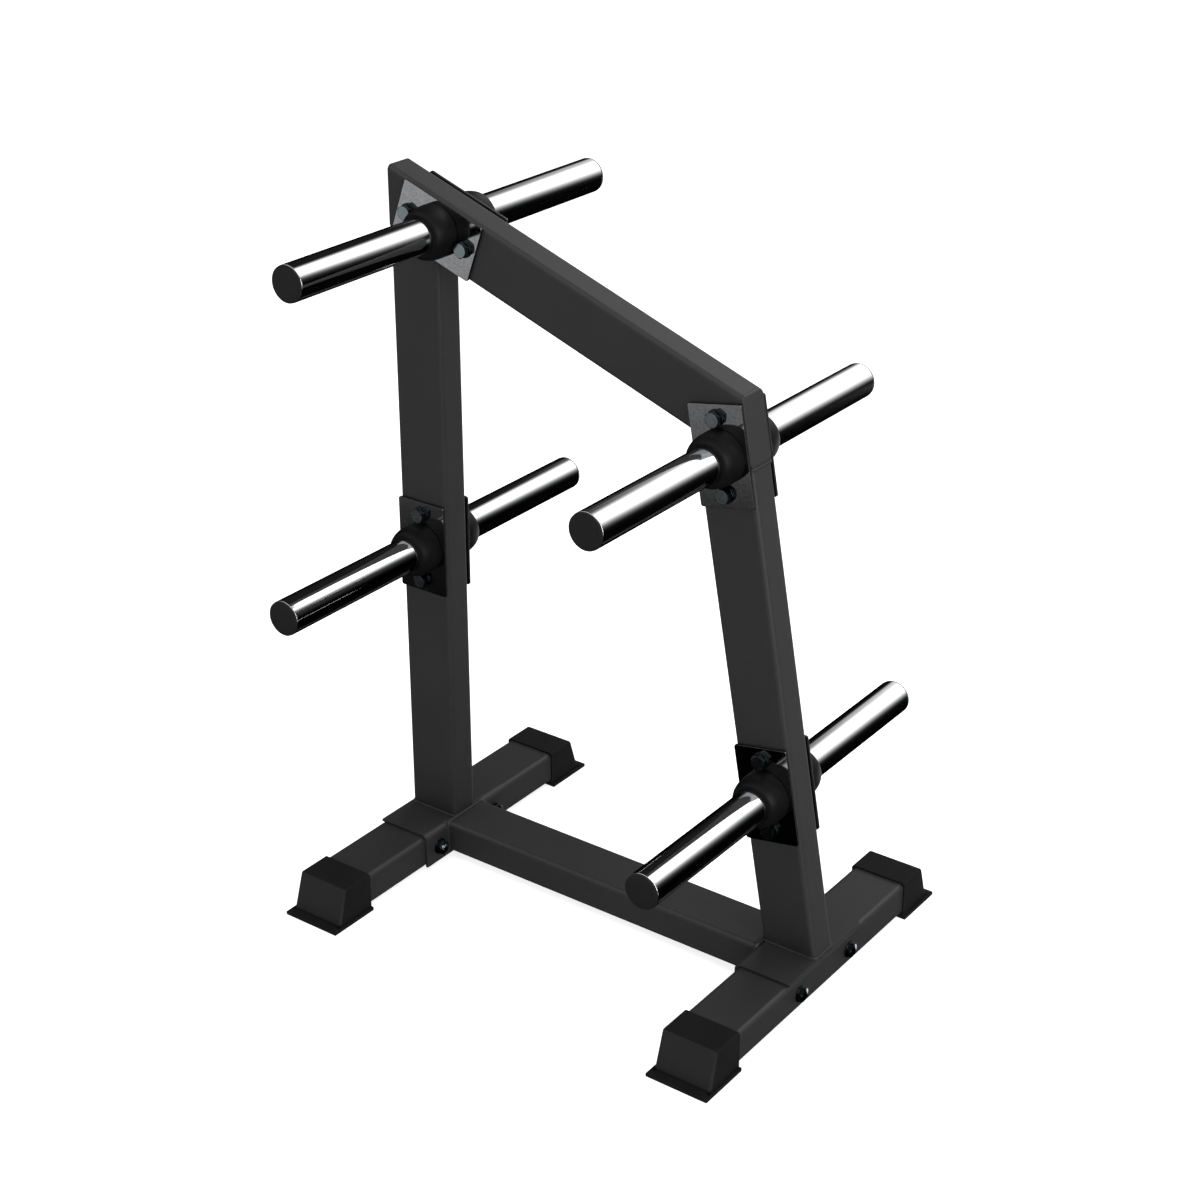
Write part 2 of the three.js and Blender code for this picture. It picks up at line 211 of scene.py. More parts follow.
def chromeNodes(tree):
    lines = noise(tree, objectPlace(tree, chrome["lines"]), 1.0, 3)
    haze = noise(tree, objectPlace(tree), chrome["haze"], 3)
    return {
        "Base Color": tint(tree, haze, chrome["dark"], chrome["light"]),
        "Roughness": chrome["rough"] + lines * chrome["lineRough"] + haze * chrome["hazeRough"],
        "Normal": bump(tree, haze, chrome["bump"], chrome["bumpHeight"]),
    }


chromePlate = surface("chrome_plate", {"Metallic": 1.0}, chromeNodes)

# the edge colour is painted shade on the flanges' thin edges
satin = {"dark": (0.26, 0.263, 0.27), "light": (0.52, 0.527, 0.54), "rolled": (60, 60, 900), "blotch": 38,
         "speckle": 420, "edgePaintedShade": (0.05, 0.05, 0.052), "cutRough": 0.45, "faceFrom": 0.0264,
         "faceTo": 0.0268, "rough": 0.03, "blotchRough": 0.05, "fineRough": 0.04, "bump": 0.16,
         "bumpHeight": 0.00008}


def satinNodes(tree):
    rolled = noise(tree, objectPlace(tree, satin["rolled"]), 1.0, 4)
    blotch = noise(tree, objectPlace(tree), satin["blotch"], 4)
    fine = noise(tree, objectPlace(tree), satin["speckle"], 3, 0.7)
    shade = blotch * 0.35 + rolled * 0.2 + fade(tree, fine, 0.34, 0.62) * 0.45
    # the flanges' outer faces are plated, and their edges, nearer to the frame, are painted dark: painted
    # shade along the thin edges
    outwardness = abs(coordinate(tree, objectPlace(tree), "Y"))
    face = fade(tree, outwardness, satin["faceFrom"], satin["faceTo"])
    plated = tint(tree, shade, satin["dark"], satin["light"])
    polish = satin["rough"] + blotch * satin["blotchRough"] + fine * satin["fineRough"]
    return {
        "Base Color": tint(tree, face, satin["edgePaintedShade"], plated),
        "Roughness": polish + (1 - face) * satin["cutRough"],
        "Normal": bump(tree, rolled * 0.3 + fine * 0.7, satin["bump"], satin["bumpHeight"]),
    }


platedSteel = surface("plated_steel", {"Metallic": 1.0}, satinNodes)

zinc = {"dark": (0.20, 0.245, 0.26), "light": (0.38, 0.43, 0.445), "rough": 0.1}
# near-black zinc: painted shade on the sides of heads and nuts; on the washers it is also their dark finish
blackAndShadedZincLook = {"dark": (0.018, 0.024, 0.025), "light": (0.06, 0.075, 0.078), "rough": 0.2}
crystal = {"spangle": 420, "patch": 160, "roughSpread": 0.12, "bump": 0.12, "bumpHeight": 0.0001}


def zincNodes(look):
    def build(tree):
        place = objectPlace(tree)
        spangle = makeNode(tree, "ShaderNodeTexVoronoi", {}, {"Vector": place, "Scale": crystal["spangle"]},
                           "Color")
        patch = noise(tree, place, crystal["patch"], 4)
        grey = makeNode(tree, "ShaderNodeRGBToBW", {}, {"Color": spangle})
        shade = grey * 0.5 + patch * 0.5
        return {
            "Base Color": tint(tree, shade, look["dark"], look["light"]),
            "Roughness": look["rough"] + shade * crystal["roughSpread"],
            "Normal": bump(tree, patch, crystal["bump"], crystal["bumpHeight"]),
        }
    return build


zincPlate = surface("zinc_plate", {"Metallic": 1.0}, zincNodes(zinc))
blackAndShadedZinc = surface("black_zinc_and_painted_shade", {"Metallic": 1.0}, zincNodes(blackAndShadedZincLook))

bootLook = {"dark": (0.0035, 0.0035, 0.0037), "light": (0.023, 0.023, 0.0235), "rough": 0.62,
            "grain": 900, "grainHeight": 0.00012}
collarLook = {"dark": (0.0028, 0.0028, 0.003), "light": (0.0052, 0.0052, 0.0055), "rough": 0.4,
              "grain": 700, "grainHeight": 0.00005}
capLook = {"dark": (0.008, 0.008, 0.0083), "light": (0.013, 0.013, 0.0135), "rough": 0.42,
           "grain": 1300, "grainHeight": 0.00008}
moulded = {"cloud": 26, "roughSpread": 0.12, "bump": 0.5}
# where the boots' toes are painted lighter: painted highlight
toeHighlightZone = {"lean": 0.267, "from": 0.2715, "to": 0.273, "soleFrom": 0.006, "soleTo": 0.009}


def mouldedNodes(look, paintedLight=None):
    def build(tree):
        place = objectPlace(tree)
        cloud = noise(tree, place, moulded["cloud"], 4)
        grain = noise(tree, place, look["grain"], 3)
        shade = cloud * 0.65 + grain * 0.35
        # an optional mask lightens part of the colour: painted light
        if paintedLight:
            shade = shade * 0.4 + paintedLight(tree, place) * 0.6
        return {
            "Base Color": tint(tree, shade, look["dark"], look["light"]),
            "Roughness": look["rough"] + cloud * moulded["roughSpread"],
            "Normal": bump(tree, grain, moulded["bump"], look["grainHeight"]),
        }
    return build


def toePaintedHighlight(tree, place):
    # the sloping toe of a boot is painted lighter than its top, sides and sole: a painted highlight for the
    # light on its front
    height = coordinate(tree, place, "Z")
    along = abs(coordinate(tree, place, "Y")) + height * toeHighlightZone["lean"]
    aboveSole = fade(tree, height, toeHighlightZone["soleFrom"], toeHighlightZone["soleTo"])
    return fade(tree, along, toeHighlightZone["from"], toeHighlightZone["to"]) * aboveSole


bootShine = {"IOR": 1.45, "Specular IOR Level": 0.15}
collarShine = {"IOR": 1.5, "Specular IOR Level": 0.14}
capShine = {"IOR": 1.46, "Specular IOR Level": 0.3}
bootRubber = surface("boot_rubber", bootShine, mouldedNodes(bootLook, toePaintedHighlight))
collarRubber = surface("collar_rubber", collarShine, mouldedNodes(collarLook))
capPlastic = surface("cap_plastic", capShine, mouldedNodes(capLook))
print("finishes made")


# mesh helpers

def finishPiece(name, bm, material, replaced=(), sharp=32, second=None):
    bmesh.ops.remove_doubles(bm, verts=bm.verts, dist=0.000002)
    bmesh.ops.recalc_face_normals(bm, faces=bm.faces)
    mesh = bpy.data.meshes.new(name)
    bm.to_mesh(mesh)
    bm.free()
    mesh.shade_smooth()
    mesh.set_sharp_from_angle(angle=math.radians(sharp))
    mesh.materials.append(material)
    if second:
        mesh.materials.append(second)
    piece = bpy.data.objects.new(name, mesh)
    bpy.context.scene.collection.objects.link(piece)
    weighted = piece.modifiers.new("Weighted", "WEIGHTED_NORMAL")
    weighted.keep_sharp = True
    weighted.weight = 80
    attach(piece, root)
    if replaced:
        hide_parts(*replaced)
    return piece


def axes(xAxis, yAxis, zAxis, origin):
    turn = Matrix((xAxis, yAxis, zAxis)).transposed().to_4x4()
    turn.translation = origin
    return turn


def axesAlong(zAxis, origin):
    xAxis = up.cross(zAxis) if abs(zAxis.z) < 0.9 else across.copy()
    xAxis.normalize()
    return axes(xAxis, zAxis.cross(xAxis), zAxis, origin)


def outline(bm, wide, deep, corner, segments):
    made = bmesh.ops.create_grid(bm, x_segments=1, y_segments=1, size=0.5)
    bmesh.ops.scale(bm, vec=(wide, deep, 1), verts=made["verts"])
    bmesh.ops.bevel(bm, geom=made["verts"], offset=corner, segments=segments, profile=0.5,
                    affect="VERTICES", material=-1)
    return bm.faces[:]


def softenEdges(bm, width, segments, angle=30, chosen=None):
    limit = math.radians(angle)
    edges = [e for e in bm.edges if len(e.link_faces) == 2 and e.calc_face_angle(0) > limit]
    if chosen:
        edges = [e for e in edges if chosen(e)]
    bmesh.ops.bevel(bm, geom=edges, offset=width, segments=segments, profile=0.5,
                    affect="EDGES", material=-1, clamp_overlap=True)


def slideTo(verts, direction, planePoint, planeNormal):
    for v in verts:
        v.co += direction * ((planePoint - v.co).dot(planeNormal) / direction.dot(planeNormal))


cornerSteps = 8


def bar(wide, deep, corner, wall, turn, startPlane, endPlane, rim=0.5 * mm):
    # a tube, or a solid bar where wall is 0, cut off by a plane at each end
    bm = bmesh.new()
    faces = outline(bm, wide, deep, corner, cornerSteps)
    if wall:
        bmesh.ops.inset_region(bm, faces=faces, thickness=wall, use_boundary=True, use_even_offset=True)
        core = [f for f in bm.faces if len(f.verts) > 4]
        bmesh.ops.delete(bm, geom=core, context="FACES")
    startVerts = bm.verts[:]
    grown = bmesh.ops.extrude_face_region(bm, geom=bm.faces[:], use_keep_orig=True)
    endVerts = [g for g in grown["geom"] if isinstance(g, bmesh.types.BMVert)]
    bmesh.ops.translate(bm, vec=(0, 0, 1), verts=endVerts)
    bmesh.ops.transform(bm, matrix=turn, verts=bm.verts)
    direction = turn.to_3x3() @ up
    slideTo(startVerts, direction, *startPlane)
    slideTo(endVerts, direction, *endPlane)
    bmesh.ops.recalc_face_normals(bm, faces=bm.faces)
    if rim:
        softenEdges(bm, rim, 2, 40)
    return bm


def turnedShape(profile, turn, steps, soft=0.0, softSegments=2, angle=25):
    # a profile of (radius, along) points, spun round the axis
    bm = bmesh.new()
    points = [bm.verts.new((radius, 0, along)) for radius, along in profile]
    for first, second in zip(points, points[1:]):
        bm.edges.new((first, second))
    closed = profile[0][0] > 0 or profile[-1][0] > 0
    if closed:
        bm.edges.new((points[-1], points[0]))
    bmesh.ops.spin(bm, geom=bm.verts[:] + bm.edges[:], cent=(0, 0, 0), axis=(0, 0, 1),
                   angle=2 * math.pi, steps=steps, use_merge=True)
    bmesh.ops.remove_doubles(bm, verts=bm.verts, dist=0.000005)
    bmesh.ops.recalc_face_normals(bm, faces=bm.faces)
    if soft:
        softenEdges(bm, soft, softSegments, angle)
    bmesh.ops.transform(bm, matrix=turn, verts=bm.verts)
    return bm


weld = {"radius": 2.2 * mm, "railRadius": 3.2 * mm, "railSink": 1.3 * mm, "ripple": 1.9 * mm, "dip": 0.82}


def weldBead(name, turn, plane, tubeWide, tubeDeep, radius=weld["radius"]):
    # a rippled bead that runs once around a tube where its end plane meets the next piece
    bm = bmesh.new()
    loop = outline(bm, tubeWide, tubeDeep, tube["corner"], cornerSteps)[0]
    bmesh.ops.transform(bm, matrix=turn, verts=bm.verts)
    slideTo(bm.verts, turn.to_3x3() @ up, *plane)
    corners = [v.co.copy() for v in loop.verts]
    bm.free()
    places = []
    for first, second in zip(corners, corners[1:] + corners[:1]):
        count = max(1, round((second - first).length * 2 / weld["ripple"]))
        places += [first.lerp(second, i / count) for i in range(count)]
    path = bpy.data.curves.new(name, "CURVE")
    path.dimensions = "3D"
    path.bevel_depth = radius
    path.bevel_resolution = 2
    strand = path.splines.new("POLY")
    strand.points.add(len(places) - 1)
    strand.use_cyclic_u = True
    for i, (point, place) in enumerate(zip(strand.points, places)):
        point.co = (*place, 1)
        point.radius = 1 if i % 2 else weld["dip"]
    holder = bpy.data.objects.new(name, path)
    bpy.context.scene.collection.objects.link(holder)
    solved = holder.evaluated_get(bpy.context.evaluated_depsgraph_get())
    mesh = bpy.data.meshes.new_from_object(solved)
    bpy.data.objects.remove(holder)
    bpy.data.curves.remove(path)
    bead = bmesh.new()
    bead.from_mesh(mesh)
    bpy.data.meshes.remove(mesh)
    return finishPiece(name, bead, powderCoat, sharp=70)


# frame tubes

tube = {"wide": 80 * mm, "frameDeep": 46 * mm, "baseDeep": 48 * mm, "wall": 3 * mm, "corner": 7 * mm}
wide = tube["wide"]
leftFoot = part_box("left_upright")[0]
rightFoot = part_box("right_upright")[0]
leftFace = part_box("beam_plate_left")[0].x
beamEdge = stations["upper_left"]["centre"]
rightEdge = stations["upper_right"]["centre"] + outward * (wide / 2)
underBeam = beamEdge - overBeam * (wide / 2 + air)

leftTurn = axes(across, rearward, up, Vector((middle("left_upright").x, 0, 0)))
rightTurn = axes(outward, rearward, lean, stations["upper_right"]["centre"])
uprights = {
    "Left": (leftTurn, leftFoot, "left_upright"),
    "Right": (rightTurn, rightFoot, "right_upright"),
}
for label, (turn, foot, node) in uprights.items():
    bm = bar(wide, tube["frameDeep"], tube["corner"], tube["wall"], turn, (foot, up), (underBeam, overBeam))
    finishPiece("upright" + label, bm, powderCoat, [node])
    weldBead("weldFoot" + label, turn, (foot, up), wide, tube["frameDeep"])
    weldBead("weldTop" + label, turn, (underBeam, overBeam), wide, tube["frameDeep"])

plate = {"thick": 3 * mm, "soft": 1.6 * mm}
beamTurn = axes(overBeam, -rearward, slope, beamEdge)
setBack = plate["thick"] + air
leftPlane = Vector((leftFace, 0, 0))
bm = bar(wide, tube["frameDeep"], tube["corner"], tube["wall"], beamTurn,
         (leftPlane + across * setBack, across), (rightEdge - outward * setBack, outward), rim=0)
finishPiece("beamTop", bm, powderCoat, ["top_beam"])


def endPlate(name, node, point, normal):
    inside = point - normal * plate["thick"]
    bm = bar(wide, tube["frameDeep"], tube["corner"], 0, beamTurn, (inside, normal), (point, normal), rim=0)

    def outerEdge(edge):
        return all(abs((v.co - point).dot(normal)) < same for v in edge.verts)

    softenEdges(bm, plate["soft"], 4, 50, outerEdge)
    finishPiece(name, bm, powderCoat, [node])


endPlate("beamEndLeft", "beam_plate_left", leftPlane, -across)
endPlate("beamEndRight", "beam_plate_right", rightEdge, outward)

for label in ("left", "right"):
    low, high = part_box(label + "_base_tube")
    centre = (low + high) / 2
    turn = axes(across, -up, rearward, centre)
    bm = bar(wide, tube["baseDeep"], tube["corner"], tube["wall"], turn,
             (low, rearward), (high, rearward))
    finishPiece("base" + label.title(), bm, powderCoat, [label + "_base_tube"])

railLow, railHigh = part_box("cross_rail")
turn = axes(rearward, up, across, (railLow + railHigh) / 2)
bm = bar(wide, tube["baseDeep"], tube["corner"], tube["wall"], turn,
         (railLow, across), (railHigh, across))
finishPiece("railCross", bm, powderCoat, ["cross_rail"])
for label, end, inward in (("Left", railLow, across), ("Right", railHigh, -across)):
    plane = (end - inward * weld["railSink"], across)
    weldBead("weldRail" + label, turn, plane, wide, tube["baseDeep"], weld["railRadius"])
print("tubes made")


# saddles

saddle = {"thick": 4 * mm, "bend": 5 * mm, "bendSteps": 8, "soft": 0.7 * mm}


def makeSaddle(label, side):
    # an angle over the base tube's top and inner side; side is -1 for the left one
    low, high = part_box(label + "_saddle")
    outer = high.x if side > 0 else low.x
    inner = low.x if side > 0 else high.x
    thick = saddle["thick"]
    bm = bmesh.new()
    spots = [(outer, high.z), (inner, high.z), (inner, low.z), (inner + side * thick, low.z),
             (inner + side * thick, high.z - thick), (outer, high.z - thick)]
    verts = [bm.verts.new((x, low.y, z)) for x, z in spots]
    bm.faces.new(verts)
    bmesh.ops.bevel(bm, geom=[verts[1]], offset=saddle["bend"] + thick, segments=saddle["bendSteps"],
                    profile=0.5, affect="VERTICES", material=-1)
    insideBend = Vector((spots[4][0], low.y, spots[4][1]))
    inside = [v for v in bm.verts if (v.co - insideBend).length < same]
    bmesh.ops.bevel(bm, geom=inside, offset=saddle["bend"], segments=saddle["bendSteps"],
                    profile=0.5, affect="VERTICES", material=-1)
    grown = bmesh.ops.extrude_face_region(bm, geom=bm.faces[:], use_keep_orig=True)
    ends = [g for g in grown["geom"] if isinstance(g, bmesh.types.BMVert)]
    bmesh.ops.translate(bm, vec=(0, high.y - low.y, 0), verts=ends)
    bmesh.ops.recalc_face_normals(bm, faces=bm.faces)
    softenEdges(bm, saddle["soft"], 2, 40)
    finishPiece("saddle" + label.title(), bm, powderCoat, [label + "_saddle"])


makeSaddle("left", -1)
makeSaddle("right", 1)
print("saddles made")


# rubber boots

boot = {"soleThick": 5 * mm, "soleLip": 4 * mm, "toeTop": 30 * mm, "toeFoot": 13 * mm, "wall": 1.8 * mm,
        "depth": 46.9 * mm, "mouthStep": 0.4 * mm, "soft": 4 * mm, "lipSoft": 0.8 * mm}


def makeBoot(side, end):
    node = "boot_" + side + "_" + end
    low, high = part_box(node)
    size, centre = high - low, (low + high) / 2
    facing = -1 if end == "front" else 1
    mouth = centre.y - facing * size.y / 2
    toe = centre.y + facing * size.y / 2
    soleTop = low.z + boot["soleThick"]

    bm = bmesh.new()
    bmesh.ops.create_cube(bm, size=1)
    bmesh.ops.scale(bm, vec=(size.x, size.y, boot["soleThick"]), verts=bm.verts)
    bmesh.ops.translate(bm, vec=(centre.x, centre.y, (low.z + soleTop) / 2), verts=bm.verts)
    lid = max(bm.faces, key=lambda f: f.calc_center_median().z)
    bmesh.ops.inset_region(bm, faces=[lid], thickness=1 * mm)  # its corners are placed next
    mouthWall = mouth + facing * boot["mouthStep"]
    for v in lid.verts:
        v.co.x = centre.x + math.copysign(size.x / 2 - boot["soleLip"], v.co.x - centre.x)
        v.co.y = toe - facing * boot["toeFoot"] if (v.co.y - centre.y) * facing > 0 else mouthWall
    grown = bmesh.ops.extrude_face_region(bm, geom=[lid])
    for v in [g for g in grown["geom"] if isinstance(g, bmesh.types.BMVert)]:
        v.co.z = high.z
        if (v.co.y - centre.y) * facing > 0:
            v.co.y = toe - facing * boot["toeTop"]
    bmesh.ops.recalc_face_normals(bm, faces=bm.faces)

    def bodyEdge(edge):
        heights = [v.co.z for v in edge.verts]
        atMouth = all(abs(v.co.y - mouthWall) < same for v in edge.verts)
        return min(heights) > soleTop - same and max(heights) > high.z - same and not atMouth

    def soleEdge(edge):
        outside = all(abs(abs(v.co.x - centre.x) - size.x / 2) < same
                      or abs(abs(v.co.y - centre.y) - size.y / 2) < same for v in edge.verts)
        underMouth = all(abs(v.co.y - mouth) < same and v.co.z > soleTop - same for v in edge.verts)
        return outside and not underMouth

    softenEdges(bm, boot["soft"], 5, 20, bodyEdge)
    softenEdges(bm, boot["lipSoft"], 3, 50, soleEdge)
    opening = [f for f in bm.faces if abs(f.normal.y) > 0.9 and f.calc_center_median().z > soleTop
               and abs(f.calc_center_median().y - mouthWall) < same]
    bmesh.ops.inset_region(bm, faces=opening, thickness=boot["wall"], use_even_offset=True)
    grown = bmesh.ops.extrude_face_region(bm, geom=opening)
    deepEnd = [g for g in grown["geom"] if isinstance(g, bmesh.types.BMVert)]
    bmesh.ops.translate(bm, vec=(0, facing * boot["depth"], 0), verts=deepEnd)
    finishPiece("boot" + side.title() + end.title(), bm, bootRubber, [node])


for side in ("left", "right"):
    for end in ("front", "rear"):
        makeBoot(side, end)
print("boots made")


# stations: flange, post, collar and cap to the front and rear

flange = {"wide": 79 * mm, "corner": 3 * mm, "soft": 0.3 * mm, "pastBolt": 17.5 * mm}
post = {"radius": 24 * mm, "wall": 3 * mm, "soft": 0.7 * mm, "steps": 96}
collar = {"radius": 35.5 * mm, "bore": 24.3 * mm, "straight": 11 * mm, "lip": 1.2 * mm, "chamfer": 0.6 * mm,
          "rings": 16, "belly": 0.9, "shoulder": 1.12, "steps": 96}
cap = {"rim": 23.6 * mm, "plug": 20.4 * mm, "crown": 0.7 * mm, "seat": 3 * mm, "chamfer": 0.9 * mm,
       "rings": 6, "steps": 96}


def collarProfile(length):
    radius, straight, chamfer = collar["radius"], collar["straight"], collar["chamfer"]
    points = [(collar["bore"], 0), (radius - chamfer, 0), (radius, chamfer), (radius, straight)]
    last = collar["bore"] + collar["lip"]
    for i in range(1, collar["rings"] + 1):
        bend = i / collar["rings"] * math.pi / 2
        drawnIn = last + (radius - last) * math.cos(bend) ** collar["belly"]
        points.append((drawnIn, straight + (length - straight) * math.sin(bend) ** collar["shoulder"]))
    points.append((collar["bore"], length))
    return points


def capProfile(plugEnd, face):
    rim, plug, chamfer, rings = cap["rim"], cap["plug"], cap["chamfer"], cap["rings"]
    seat, brow = face - cap["seat"], face - cap["crown"]
    points = [(0, plugEnd), (plug, plugEnd), (plug, seat), (rim, seat),
              (rim, brow - chamfer), (rim - chamfer, brow)]
    for i in range(1, rings):
        sunk = cap["crown"] * (1 - math.sin(math.pi / 2 * i / rings)) ** 2
        points.append((rim * (1 - i / rings), face - sunk))
    points.append((0, face))
    return points


for name in stationNames:
    station = stations[name]
    for end, facing in (("front", -1), ("rear", 1)):
        tag = name + "_" + end
        label = "".join(word.title() for word in tag.split("_"))
        direction = rearward * facing
        low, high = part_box("flange_" + tag)
        near, far = (high.y, low.y) if facing < 0 else (low.y, high.y)
        sideways = station["lengthwise"].cross(direction)
        turn = axes(sideways, station["lengthwise"], direction, station["centre"])
        tall = 2 * ((middle("bolt_" + name + "_a") - station["centre"]).length + flange["pastBolt"])
        bm = bar(flange["wide"], tall, flange["corner"], 0, turn,
                 (Vector((0, near, 0)), direction), (Vector((0, far, 0)), direction), rim=flange["soft"])
        finishPiece("flange" + label, bm, platedSteel, ["flange_" + tag])

        turn = axesAlong(direction, station["centre"])
        low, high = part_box("post_" + tag)
        near, far = (-high.y, -low.y) if facing < 0 else (low.y, high.y)
        bore = post["radius"] - post["wall"]
        profile = [(bore, near), (post["radius"], near), (post["radius"], far), (bore, far)]
        bm = turnedShape(profile, turn, post["steps"], post["soft"], 3)
        finishPiece("post" + label, bm, chromePlate, ["post_" + tag], sharp=50)

        low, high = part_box("collar_" + tag)
        near, far = (-high.y, -low.y) if facing < 0 else (low.y, high.y)
        profile = [(radius, near + along) for radius, along in collarProfile(far - near)]
        bm = turnedShape(profile, turn, collar["steps"])
        finishPiece("collar" + label, bm, collarRubber, ["collar_" + tag], sharp=40)

        low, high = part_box("cap_" + tag)
        plugEnd, face = (-high.y, -low.y) if facing < 0 else (low.y, high.y)
        bm = turnedShape(capProfile(plugEnd, face), turn, cap["steps"])
        finishPiece("cap" + label, bm, capPlastic, ["cap_" + tag], sharp=40)
print("stations made")


# fasteners

hexagon = {"across": 19 * mm, "tall": 7.5 * mm, "roundTop": 0.965, "chamfer": math.radians(30), "cuts": 7}
crown = {"tall": 2.6 * mm, "rings": 6}
washer = {"radius": 11.47 * mm, "bore": 6.2 * mm, "thick": 2 * mm, "soft": 0.4 * mm, "steps": 64}
thread = {"radius": 6 * mm, "pitch": 1.75 * mm, "depth": 1.0 * mm, "reach": 3 * mm, "point": 1.2 * mm,
          "hidden": 3, "steps": 40}


def grownVerts(grown):
    return [g for g in grown["geom"] if isinstance(g, bmesh.types.BMVert)]


def grownEdges(grown):
    return [g for g in grown["geom"] if isinstance(g, bmesh.types.BMEdge)]


def openEdges(bm):
    return [e for e in bm.edges if e.is_boundary]


def domeOver(bm, lid, height):
    # rings of the flat lid rise along a curve to a crown
    base = lid.calc_center_median()
    rim = max((v.co - base).length for v in lid.verts)
    for i in range(1, crown["rings"]):
        bmesh.ops.inset_region(bm, faces=[lid], thickness=rim / crown["rings"], use_boundary=True)
        for v in lid.verts:
            v.co.z = base.z + height * (1 - (1 - i / crown["rings"]) ** 2)


def hexagonShape(turn, start, end, bore, bothEnds=False, dome=0.0):
    # a bolt's head, or a nut where it has a bore, with its corners turned off
    bm = bmesh.new()
    flat = hexagon["across"] / 2
    roundTop = flat * hexagon["roundTop"]

    def turnedOff(v):
        return max(0, v.co.xy.length - roundTop) * math.tan(hexagon["chamfer"])

    bmesh.ops.create_circle(bm, cap_ends=False, segments=6, radius=hexagon["across"] / math.sqrt(3))
    bmesh.ops.subdivide_edges(bm, edges=bm.edges[:], cuts=hexagon["cuts"])
    sides = bmesh.ops.extrude_edge_only(bm, edges=bm.edges[:])
    top = grownVerts(sides)
    bottom = [v for v in bm.verts if v not in set(top)]
    for v in top:
        v.co.z = end - turnedOff(v)
    for v in bottom:
        v.co.z = start + (turnedOff(v) if bothEnds else 0)
    rim = bmesh.ops.extrude_edge_only(bm, edges=grownEdges(sides))
    for v in grownVerts(rim):
        v.co.z = end
        v.co.xy = v.co.xy.normalized() * roundTop
    rimEdges = grownEdges(rim)
    lowEdges = [e for e in openEdges(bm) if e not in set(rimEdges)]
    if bore:
        for edges, z in ((rimEdges, end), (lowEdges, start)):
            for v in grownVerts(bmesh.ops.extrude_edge_only(bm, edges=edges)):
                v.co.z = z
                v.co.xy = v.co.xy.normalized() * bore
        bmesh.ops.bridge_loops(bm, edges=openEdges(bm))
    else:
        bmesh.ops.holes_fill(bm, edges=openEdges(bm), sides=0)
        bmesh.ops.poke(bm, faces=[min(bm.faces, key=lambda f: f.calc_center_median().z)])
    bmesh.ops.recalc_face_normals(bm, faces=bm.faces)
    for f in bm.faces:
        f.material_index = 0 if f.normal.z > 0.9 else 1  # the end face keeps the zinc, the sides get the near-black zinc as painted shade
    if dome:
        domeOver(bm, max(bm.faces, key=lambda f: f.calc_center_median().z), dome)
    bmesh.ops.transform(bm, matrix=turn, verts=bm.verts)
    return bm


def shankProfile(start, nutEnd):
    radius, pitch = thread["radius"], thread["pitch"]
    tip = nutEnd + thread["reach"]
    threadStart = nutEnd - thread["hidden"] * pitch
    turns = int((tip - thread["point"] - threadStart) / pitch)
    points = [(0, start), (radius, start)]
    for i in range(turns):
        z = threadStart + i * pitch
        points += [(radius, z), (radius - thread["depth"], z + pitch * 0.5)]
    points += [(radius, threadStart + turns * pitch), (radius - thread["depth"], tip), (0, tip)]
    return points


def makeBolt(label, node, headFace, nutFace, dome=0.0):
    axis = (nutFace - headFace).normalized()
    headTurn = axesAlong(-axis, headFace)
    nutTurn = axesAlong(axis, nutFace)
    seat = air + washer["thick"]
    end = seat + hexagon["tall"]
    ring = [(washer["bore"], air), (washer["radius"], air), (washer["radius"], seat), (washer["bore"], seat)]
    # the washers take the near-black zinc, their dark finish darkened further as painted shade
    for part, turn in (("Head", headTurn), ("Nut", nutTurn)):
        bm = turnedShape(ring, turn, washer["steps"], washer["soft"], 2)
        finishPiece("washer" + part + label, bm, blackAndShadedZinc, sharp=50)
    bm = hexagonShape(headTurn, seat, end - dome, 0, dome=dome)
    finishPiece("head" + label, bm, zincPlate, [node], sharp=25, second=blackAndShadedZinc)
    bm = hexagonShape(nutTurn, seat, end, thread["radius"] - air, True)
    finishPiece("nut" + label, bm, zincPlate, [node], sharp=25, second=blackAndShadedZinc)
    length = (nutFace - headFace).length
    bm = turnedShape(shankProfile(-length - seat, end), nutTurn, thread["steps"])
    finishPiece("shank" + label, bm, zincPlate, [node], sharp=35)


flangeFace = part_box("flange_mid_left_rear")[1].y
for name in stationNames:
    for letter in ("a", "b"):
        node = "bolt_" + name + "_" + letter
        centre = middle(node)
        label = "".join(word.title() for word in name.split("_")) + letter.upper()
        front, rear = (Vector((centre.x, y, centre.z)) for y in (-flangeFace, flangeFace))
        makeBolt(label, node, front, rear)

for label, side in (("left", -1), ("right", 1)):
    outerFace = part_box(label + "_base_tube")[1 if side > 0 else 0].x
    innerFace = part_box(label + "_saddle")[0 if side > 0 else 1].x
    for end in ("front", "rear"):
        node = "bolt_" + label + "_base_" + end
        centre = middle(node)
        outer, inner = (Vector((x, centre.y, centre.z)) for x in (outerFace, innerFace))
        makeBolt("Base" + label.title() + end.title(), node, outer, inner, crown["tall"])
print("fasteners made")


# camera, floor and light

view = {"place": (1.5629, -2.1654, 1.7685), "azimuth": 36.15, "elevation": 25.41,
        "lens": 67.70, "shift": (-0.0007, -0.0143)}
eye = bpy.data.cameras.new("camera")
eye.lens = view["lens"]
eye.sensor_width = 36
eye.shift_x, eye.shift_y = view["shift"]
eye.clip_end = 100
camera = bpy.data.objects.new("camera", eye)
azimuth, elevation = math.radians(view["azimuth"]), math.radians(view["elevation"])
level = math.cos(elevation)
looking = Vector((-math.sin(azimuth) * level, math.cos(azimuth) * level, -math.sin(elevation)))
camera.rotation_euler = looking.to_track_quat("-Z", "Y").to_euler()
camera.location = view["place"]
bpy.context.scene.collection.objects.link(camera)
bpy.context.scene.camera = camera

